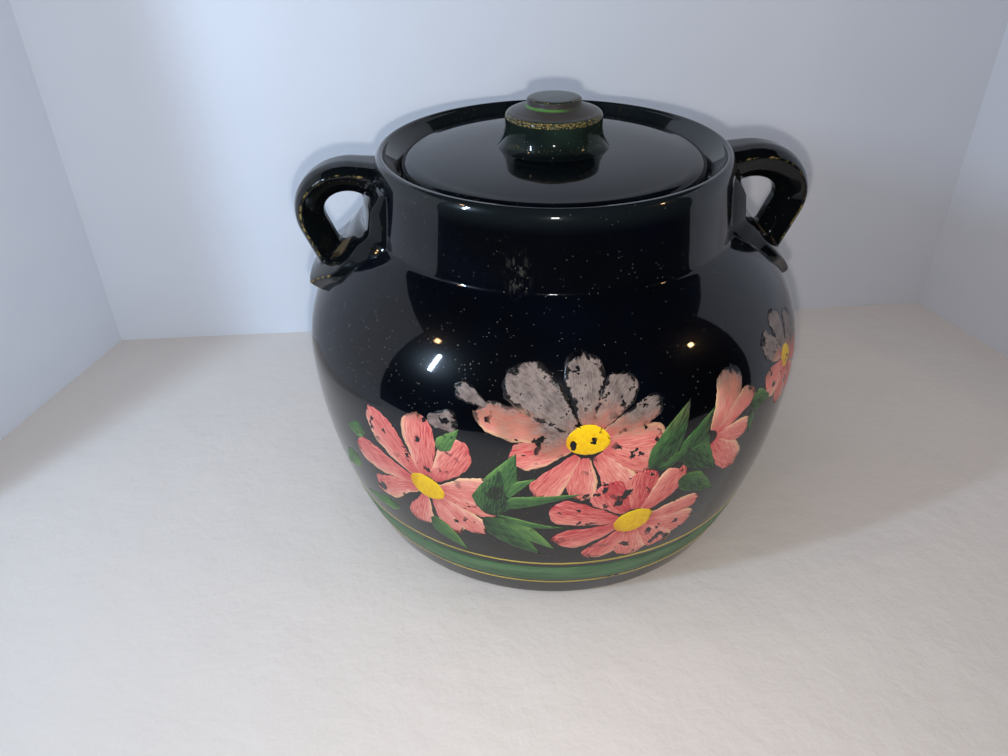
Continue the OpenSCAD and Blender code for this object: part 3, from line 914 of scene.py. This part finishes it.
def body_thin(f):
    """The glaze stays thin and brown inside the neck, where little of it was poured."""
    flat = f.vector("MULTIPLY", f.place, (1, 1, 0))
    radius = f.vector("LENGTH", flat, output="Value")
    above_seat = f.step(f.parts(f.place)[2], (SEAT_Z + 0.3) * MM, (SEAT_Z + 1.2) * MM)
    return above_seat * f.step(radius, (MOUTH_R + 1.5) * MM, MOUTH_R * MM) * 0.3


# (middle of the smear in metres), (share of each direction that counts as distance)
SMEAR, SMEAR_TALL = (-0.0216, -0.0715, 0.1435), (1, 1, 0.45)


def body_stains(f):
    """A small pale smear with hair scratches on the front of the neck, and a slightly
    thinner, greener glaze along the lip."""
    streaky = f.noise(620, 4, 0.7, stretch=(1, 1, 0.4))
    near = f.vector("DISTANCE", f.vector("MULTIPLY", f.place, SMEAR_TALL),
                    np.multiply(SMEAR, SMEAR_TALL), "Value")
    smear = f.step(near, 0.006, 0.001) * f.step(streaky, 0.52, 0.68) * 0.32
    lip = f.step(f.parts(f.place)[2], (LIP_Z - 1) * MM, (LIP_Z + 5) * MM) * 0.7
    return [(lip, srgb(19, 25, 27), 0.02), (smear, srgb(118, 116, 110), 0.3)]


coat(glaze_finish("black_glaze", (4, 7, 17), body_thin, stains=body_stains), body)

# %% [markdown]
# ## Glaze on lid, knob and handles
# Each piece was dipped by itself and has been held and rubbed in its own way, so each
# gets its own glaze from the same recipe. On the knob, wear, pooled glaze and a painted
# shade at the foot follow the turned edges, so they are bands between two heights; the
# pooled green is painted brighter on the side towards the left lamp. On the handles
# worn glaze and a painted highlight follow the ridges, which were measured when the
# handles were made.


# %% Lid, knob and handle glazes
def level_band(f, low, high, blur=0.25):
    """1 between two heights on the knob, in millimetres above its foot, with soft ends."""
    z = f.parts(f.place)[2] * (1 / MM) - knob_z
    return f.step(z, low - blur, low + blur) * f.step(z, high + blur, high - blur)


def knob_thin(f):
    """The glaze breaks in a speckled ring round the drum's upper edge, and thinly on the
    edge of the button and low on the drum."""
    grain = f.noise(1500, 2, 0.6)
    ring = level_band(f, KNOB_H - 2.3, KNOB_H - 0.2, 0.4) * f.step(grain, 0.42, 0.6)
    rim = level_band(f, KNOB_TOP - 0.7, KNOB_TOP - 0.1) * f.step(grain, 0.45, 0.6)
    return ring + rim * 0.7 + level_band(f, 2.4, 4.2, 0.8) * f.step(grain, 0.56, 0.66) * 0.6


def knob_stains(f):
    """The shoulder and the button's side are dull and brown, where fingers rub. The drum's
    foot, where it meets the lid, is painted near-black as painted shade. A line of clear
    green glaze has pooled round the button's foot, strongest at the front left, where it is
    painted brighter as painted light from the left lamp."""
    x, y, _ = f.parts(f.place)
    rubbed = level_band(f, KNOB_H, KNOB_TOP - 0.5) * (0.55 + 0.4 * f.noise(120, 3))
    # painted shade: the drum's foot next to the lid is made near-black
    skirt_shade = level_band(f, -1, 1.9, 0.6) * 0.9
    # painted light: the green pool is brighter on the side that faces the left lamp
    left = f.step(x * -0.62 + y * -0.78, 0.0045, 0.0105)
    pool = level_band(f, BUTTON_FOOT - 0.1, BUTTON_FOOT + 0.6) * (left * 0.62 + 0.1)
    return [(rubbed, srgb(62, 56, 56), 0.4), (skirt_shade, srgb(6, 9, 11), 0.0),
            (pool, srgb(78, 130, 58), 0.1)]


def unbroken(f):
    """A thickness that never breaks by itself, a little uneven."""
    return f.noise(30) * 0.2


RUBBED = (0.0885, -0.011, 0.1305)  # middle of the patch on the right handle, in metres


def handle_stains(f):
    """A rubbed brown patch where the strap's inner face runs into the plate."""
    x, y, z = f.parts(f.place)
    either_side = f.add("CombineXYZ", {}, {0: abs(x), 1: y, 2: z})
    near = f.vector("DISTANCE", either_side, RUBBED, "Value")
    patch = f.step(near + (f.noise(260, 3) - 0.5) * 0.008, 0.007, 0.0035) * 0.65
    return [(patch, srgb(104, 90, 68), 0.4)]


coat(glaze_finish("lid_glaze", (8, 14, 19), unbroken, gloss=0.25, haze=0.1), lid)
coat(glaze_finish("knob_glaze", (31, 45, 39), knob_thin, specks=1.5, gloss=0.2, haze=0.14,
                  spread=0.35, stains=knob_stains), knob)
# edges=0.8 paints the handles' ridges pale gold, partly as a painted highlight
coat(glaze_finish("handle_glaze", (10, 14, 16), unbroken, edges=0.8, gloss=0.3, haze=0.1,
                  stains=handle_stains), left_handle, right_handle)
print("glazes lie on body, lid, knob and both handles")

# %% [markdown]
# ## Bare clay
# Where glaze was wiped away the clay shows: sandy, matt, and a little uneven.

# %% Bare clay
clay = Finish("bare_stoneware")
clay.set(Base_Color=clay.blend(clay.noise(60, 4), srgb(150, 128, 98), srgb(184, 164, 130)),
         Roughness=0.85)
coat(clay.material, *bare_pieces)
print("bare clay on", len(bare_pieces), "rings")

# %% [markdown]
# ## Brushed enamel
# The flowers are cold enamel. Each stroke is streaked along its length, because the
# brush held two colours; it is paler at its sides and deeper by the disc. On the
# shoulder the paint has faded to brown, then to a silver grey that is partly worn paint
# and partly a painted sheen of the lamps' glare, and small chips show the black glaze.
# The streaks come from noise stretched along the stroke's own coordinates.


# %% Paint materials
# (start, end) of the height over which paint turns brown, then grey, in metres; the grey
# is partly worn paint and partly a painted sheen of the lamps' glare
BROWN, GREY = (0.0935, 0.1015), (0.099, 0.107)


def paint_finish(name, colours, fade=0.0, chips=1.0, streaks=(0.35, 3.2)):
    """Enamel in four colours: deep, middle, light, and a pale one that lay along one side
    of the brush. fade is how much of it turns brown, then grey, above the belly; the grey
    is partly worn paint and partly a painted sheen of the lamps' glare. chips is how much
    has flaked."""
    f = Finish(name)
    brush = f.stored("brush")
    t, v, tone = f.parts(f.stored("share"))
    along, across = streaks
    streak = f.noise(0.55, 3, 0.55, at=brush, stretch=(along, across, 1))
    hairs = f.noise(1.6, 3, 0.6, at=brush, stretch=(along * 0.5, across * 1.6, 1))
    middle = 1 - abs(v * 2 - 1)
    light = streak * 1.7 + (hairs - 0.5) * 0.9 + 0.08
    light = light - tone * 0.6 - middle * 0.16 + (v - 0.5) * 0.4
    colour = f.blend(f.step(light, 0.1, 0.5), colours[0], colours[1])
    colour = f.blend(f.step(light, 0.5, 1.05), colour, colours[2])
    colour = f.blend(f.step(t, 0.3, 0.0) * 0.6, colour, colours[0])
    side = f.step(v + (hairs - 0.5) * 0.12, 0.86, 0.95) * f.step(tone, 0.9, 0.4)
    colour = f.blend(side * 0.75, colour, colours[3])
    z = f.parts(f.place)[2]
    age = z + (f.noise(40, 3) - 0.5) * 0.034 + (streak - 0.5) * 0.012
    wear = f.noise(300, 3, 0.7)
    colour = f.blend(f.step(age, *BROWN) * fade * 0.75, colour,
                     f.blend(hairs, srgb(92, 62, 52), srgb(176, 124, 98)))
    # grey high on the shoulder and on tone-2 strokes: worn paint, and partly a painted sheen of the
    # lamps' glare
    faded_and_sheen = (f.step(age, *GREY) + f.step(tone, 1.4, 1.6)).least(1) * fade
    silver = f.step(wear * 0.35 + hairs * 0.4 + streak * 0.25, 0.38, 0.6)
    colour = f.blend(faded_and_sheen, colour, f.blend(silver, srgb(68, 62, 62), srgb(136, 123, 118)))
    flake = f.step(f.noise(190, 3, 0.55, shift=(2, 0, 5)), 0.61, 0.625)
    flaked_here = f.step(f.noise(38, 2, 0.5, shift=(7, 3, 0)), 0.42, 0.56)
    frayed = f.step(middle + (wear - 0.5) * 1.1, 0.2, 0.14)
    edge = frayed + f.step(t + (wear - 0.5) * 0.3, 0.93, 0.97)
    gone = flake * flaked_here * chips + faded_and_sheen * (f.step(wear, 0.62, 0.66) + edge)
    gone = gone.least(1)
    f.set(Base_Color=f.blend(gone, colour, srgb(20, 19, 21)), Specular_IOR_Level=0.5,
          Roughness=0.42 - 0.2 * gone + (hairs - 0.5) * 0.15,
          Normal=f.bump(gone, -0.06, below=f.bump(hairs, 0.03)))
    return f.material


PINK = srgb(178, 54, 64), srgb(210, 118, 110), srgb(230, 172, 156), srgb(228, 188, 144)
GREEN = srgb(22, 38, 30), srgb(58, 98, 54), srgb(100, 138, 74), srgb(104, 142, 72)
YELLOW = srgb(190, 126, 2), srgb(214, 166, 4), srgb(226, 186, 14), srgb(226, 186, 14)
coat(paint_finish("pink_enamel", PINK, fade=0.97, chips=1.1), petal_film)
coat(paint_finish("green_enamel", GREEN, fade=0.2, chips=0.7), leaf_film)
coat(paint_finish("yellow_enamel", YELLOW, chips=1.3, streaks=(1, 1)), disc_film)


def band_finish(name, colours, gaps):
    """Band paint: streaked round the pot, worn through where gaps is more than 0."""
    f = Finish(name)
    wide = f.noise(30, 3, stretch=(1, 1, 6))
    fine = f.noise(160, 3, 0.6, stretch=(0.3, 0.3, 4))
    colour = f.blend(f.step(wide * 0.6 + fine * 0.5, 0.35, 0.75), *colours)
    worn = f.step(f.noise(60, 3, 0.7) + (fine - 0.5) * 0.3, 0.66, 0.7) * gaps
    f.set(Base_Color=f.blend(worn, colour, srgb(18, 18, 20)), Roughness=0.4 - 0.15 * worn,
          Normal=f.bump(fine, 0.02))
    return f.material


coat(band_finish("band_green", (srgb(44, 82, 52), srgb(84, 128, 84)), 0.6), green_band)
coat(band_finish("band_gold", (srgb(160, 142, 52), srgb(212, 192, 92)), 1.0), *gold_bands)

# %% [markdown]
# ## Stage
# A black glossy pot shows little but its surroundings, so the stage matters as much
# as the glaze: a pale floor, and three pale walls close behind and beside it. The walls
# are painted lighter and bluer at the left, as painted light from the left lamp, and
# the cloth a little darker and warmer at the right, as painted shade. Each wall can be
# seen only from inside, so that other views look in through it. The front stays open
# and dark, which gives the glaze its deep middle. Past its hem the cloth goes on in
# aprons that no reflection shows, so the glaze mirrors the hem.


# %% Floor, walls and backdrop
def flat_finish(name, left, right, see_through=False, creases=0.0):
    """A matt stage colour, from one at the left to one at the right, which paints light and
    shade across the stage; see_through makes the side away from the pot invisible, and
    creases is the relief in millimetres."""
    f = Finish(name)
    across = f.blend(f.step(f.parts(f.place)[0], -0.3, 0.35), left, right)
    f.set(Base_Color=f.blend(f.noise(9, 4, 0.6) * 0.1, across, srgb(150, 150, 152)),
          Roughness=0.8, Specular_IOR_Level=0.2)
    if creases:
        f.set(Normal=f.bump(f.noise(11, 6, 0.62), creases))
    if see_through:
        outside = f.add("NewGeometry", {}, {}, "Backfacing")
        clear = f.add("BsdfTransparent", {}, {})
        mixed = f.add("MixShader", {}, {0: outside, 1: Link(f, f.shader.outputs[0]), 2: clear})
        f.feed(f.tree.nodes["Material Output"].inputs["Surface"], mixed)
    return f.material


def stage_sheet(name, corners, material):
    """One flat sheet of the stage, given by its corners in millimetres."""
    made = new_mesh(name, corners, [range(len(corners))], smooth=False)
    coat(material, made)
    return made


# painted shade: the cloth is a little darker and warmer at the right
cloth = flat_finish("stage_cloth", srgb(213, 207, 203), srgb(211, 202, 196), creases=4)
# painted light: the walls are lighter and bluer at the left, towards the left lamp
tent = flat_finish("stage_walls", srgb(232, 240, 254), srgb(204, 206, 214), see_through=True)
LEFT_HEM = [(-480, 1500, 0), (-480, -130, 0), (-430, -215, 0), (-325, -350, 0), (-310, -480, 0)]
RIGHT_HEM = [(-x, y, z) for x, y, z in LEFT_HEM[::-1]]
FRONT = [(-310, -480, 0), (-310, -2500, 0), (310, -2500, 0), (310, -480, 0)]
APRONS = {
    "left": [(-1500, 1500, 0), (-1500, -2500, 0), FRONT[1]] + LEFT_HEM[::-1],
    "front": FRONT,
    "right": RIGHT_HEM[::-1] + [FRONT[2], (1500, -2500, 0), (1500, 1500, 0)],
}
stage_sheet("stage_floor", LEFT_HEM + RIGHT_HEM, cloth)
for name, corners in APRONS.items():
    stage_sheet("stage_apron_" + name, corners, cloth).visible_glossy = False
WALL_TOP = 370
WALLS = {  # the two ends of each wall on the floor
    "back": ((-265, 150), (282, 144)),
    "left": ((-345, -107), (-265, 150)),
    "right": ((282, 144), (340, -102)),
}
for name, (start, end) in WALLS.items():
    stage_sheet("stage_" + name, [(*start, 0), (*end, 0), (*end, WALL_TOP), (*start, WALL_TOP)],
                tent)
print("stage:", 1 + len(APRONS), "sheets of cloth and", len(WALLS), "walls")

# %% [markdown]
# ## Light
# One tall lamp stands at the left front and one small lamp close to the camera: their
# two glints run down lip, crease and knob. Two small warm lamps, high up at either side,
# leave a yellow spark each on the belly. Beside the camera a bare flash throws the
# narrow hard shadow that edges the pot on the back wall. A wide lamp above fills the
# shadows. It and the flash are kept out of reflections, because the front of the room
# is dark, and the glaze is to show that.


# %% Lamps and world
def lamp(name, place, target, size, power, colour=(1, 1, 1), glossy=True):
    """An area lamp at place that faces target, both in millimetres."""
    light = bpy.data.lights.new(name, "AREA")
    light.shape = "RECTANGLE"
    light.size, light.size_y = size[0] * MM, size[1] * MM
    light.energy, light.color = power, colour
    holder = bpy.data.objects.new(name, light)
    bpy.context.scene.collection.objects.link(holder)
    back = unit(np.subtract(place, target))
    right = unit(np.cross([0, 0, 1], back))
    turn = np.column_stack([right, np.cross(back, right), back])
    holder.matrix_world = placed(np.array(place) * MM, turn)
    holder.visible_glossy = glossy


MIDDLE, WARM = (0, 0, 90), (1.0, 0.62, 0.3)
lamp("lamp_left", (-448, -270, 358), MIDDLE, (15, 110), 1.5, (0.58, 0.78, 1.0))
lamp("lamp_camera", (-36, -325, 236), MIDDLE, (22, 22), 0.1)
lamp("lamp_flash", (-45, -310, 246), MIDDLE, (6, 6), 0.5, (1.0, 0.94, 0.85), glossy=False)
lamp("lamp_warm_left", (-409, -187, 452), MIDDLE, (22, 22), 0.08, WARM)
lamp("lamp_warm_right", (430, -246, 386), MIDDLE, (22, 22), 0.1, WARM)
lamp("lamp_above", (-150, -150, 700), (0, 0, 80), (600, 500), 1.12, (0.95, 0.97, 1.0),
     glossy=False)
print("lamps:", len(bpy.data.lights))

world = bpy.data.worlds.new("world")
bpy.context.scene.world = world
world.use_nodes = True
room = Nodes(world.node_tree)
dim = room.tree.nodes["Background"]
room.feed(dim.inputs["Color"], (0.72, 0.74, 0.78, 1))
room.feed(dim.inputs["Strength"], 0.3)
dark = room.add("Background", {}, {"Color": (0.004, 0.004, 0.005, 1)})
glossy_ray = room.add("LightPath", {}, {}, "Is Glossy Ray")
seen = room.add("MixShader", {}, {0: glossy_ray, 1: Link(room, dim.outputs[0]), 2: dark})
room.feed(room.tree.nodes["World Output"].inputs["Surface"], seen)
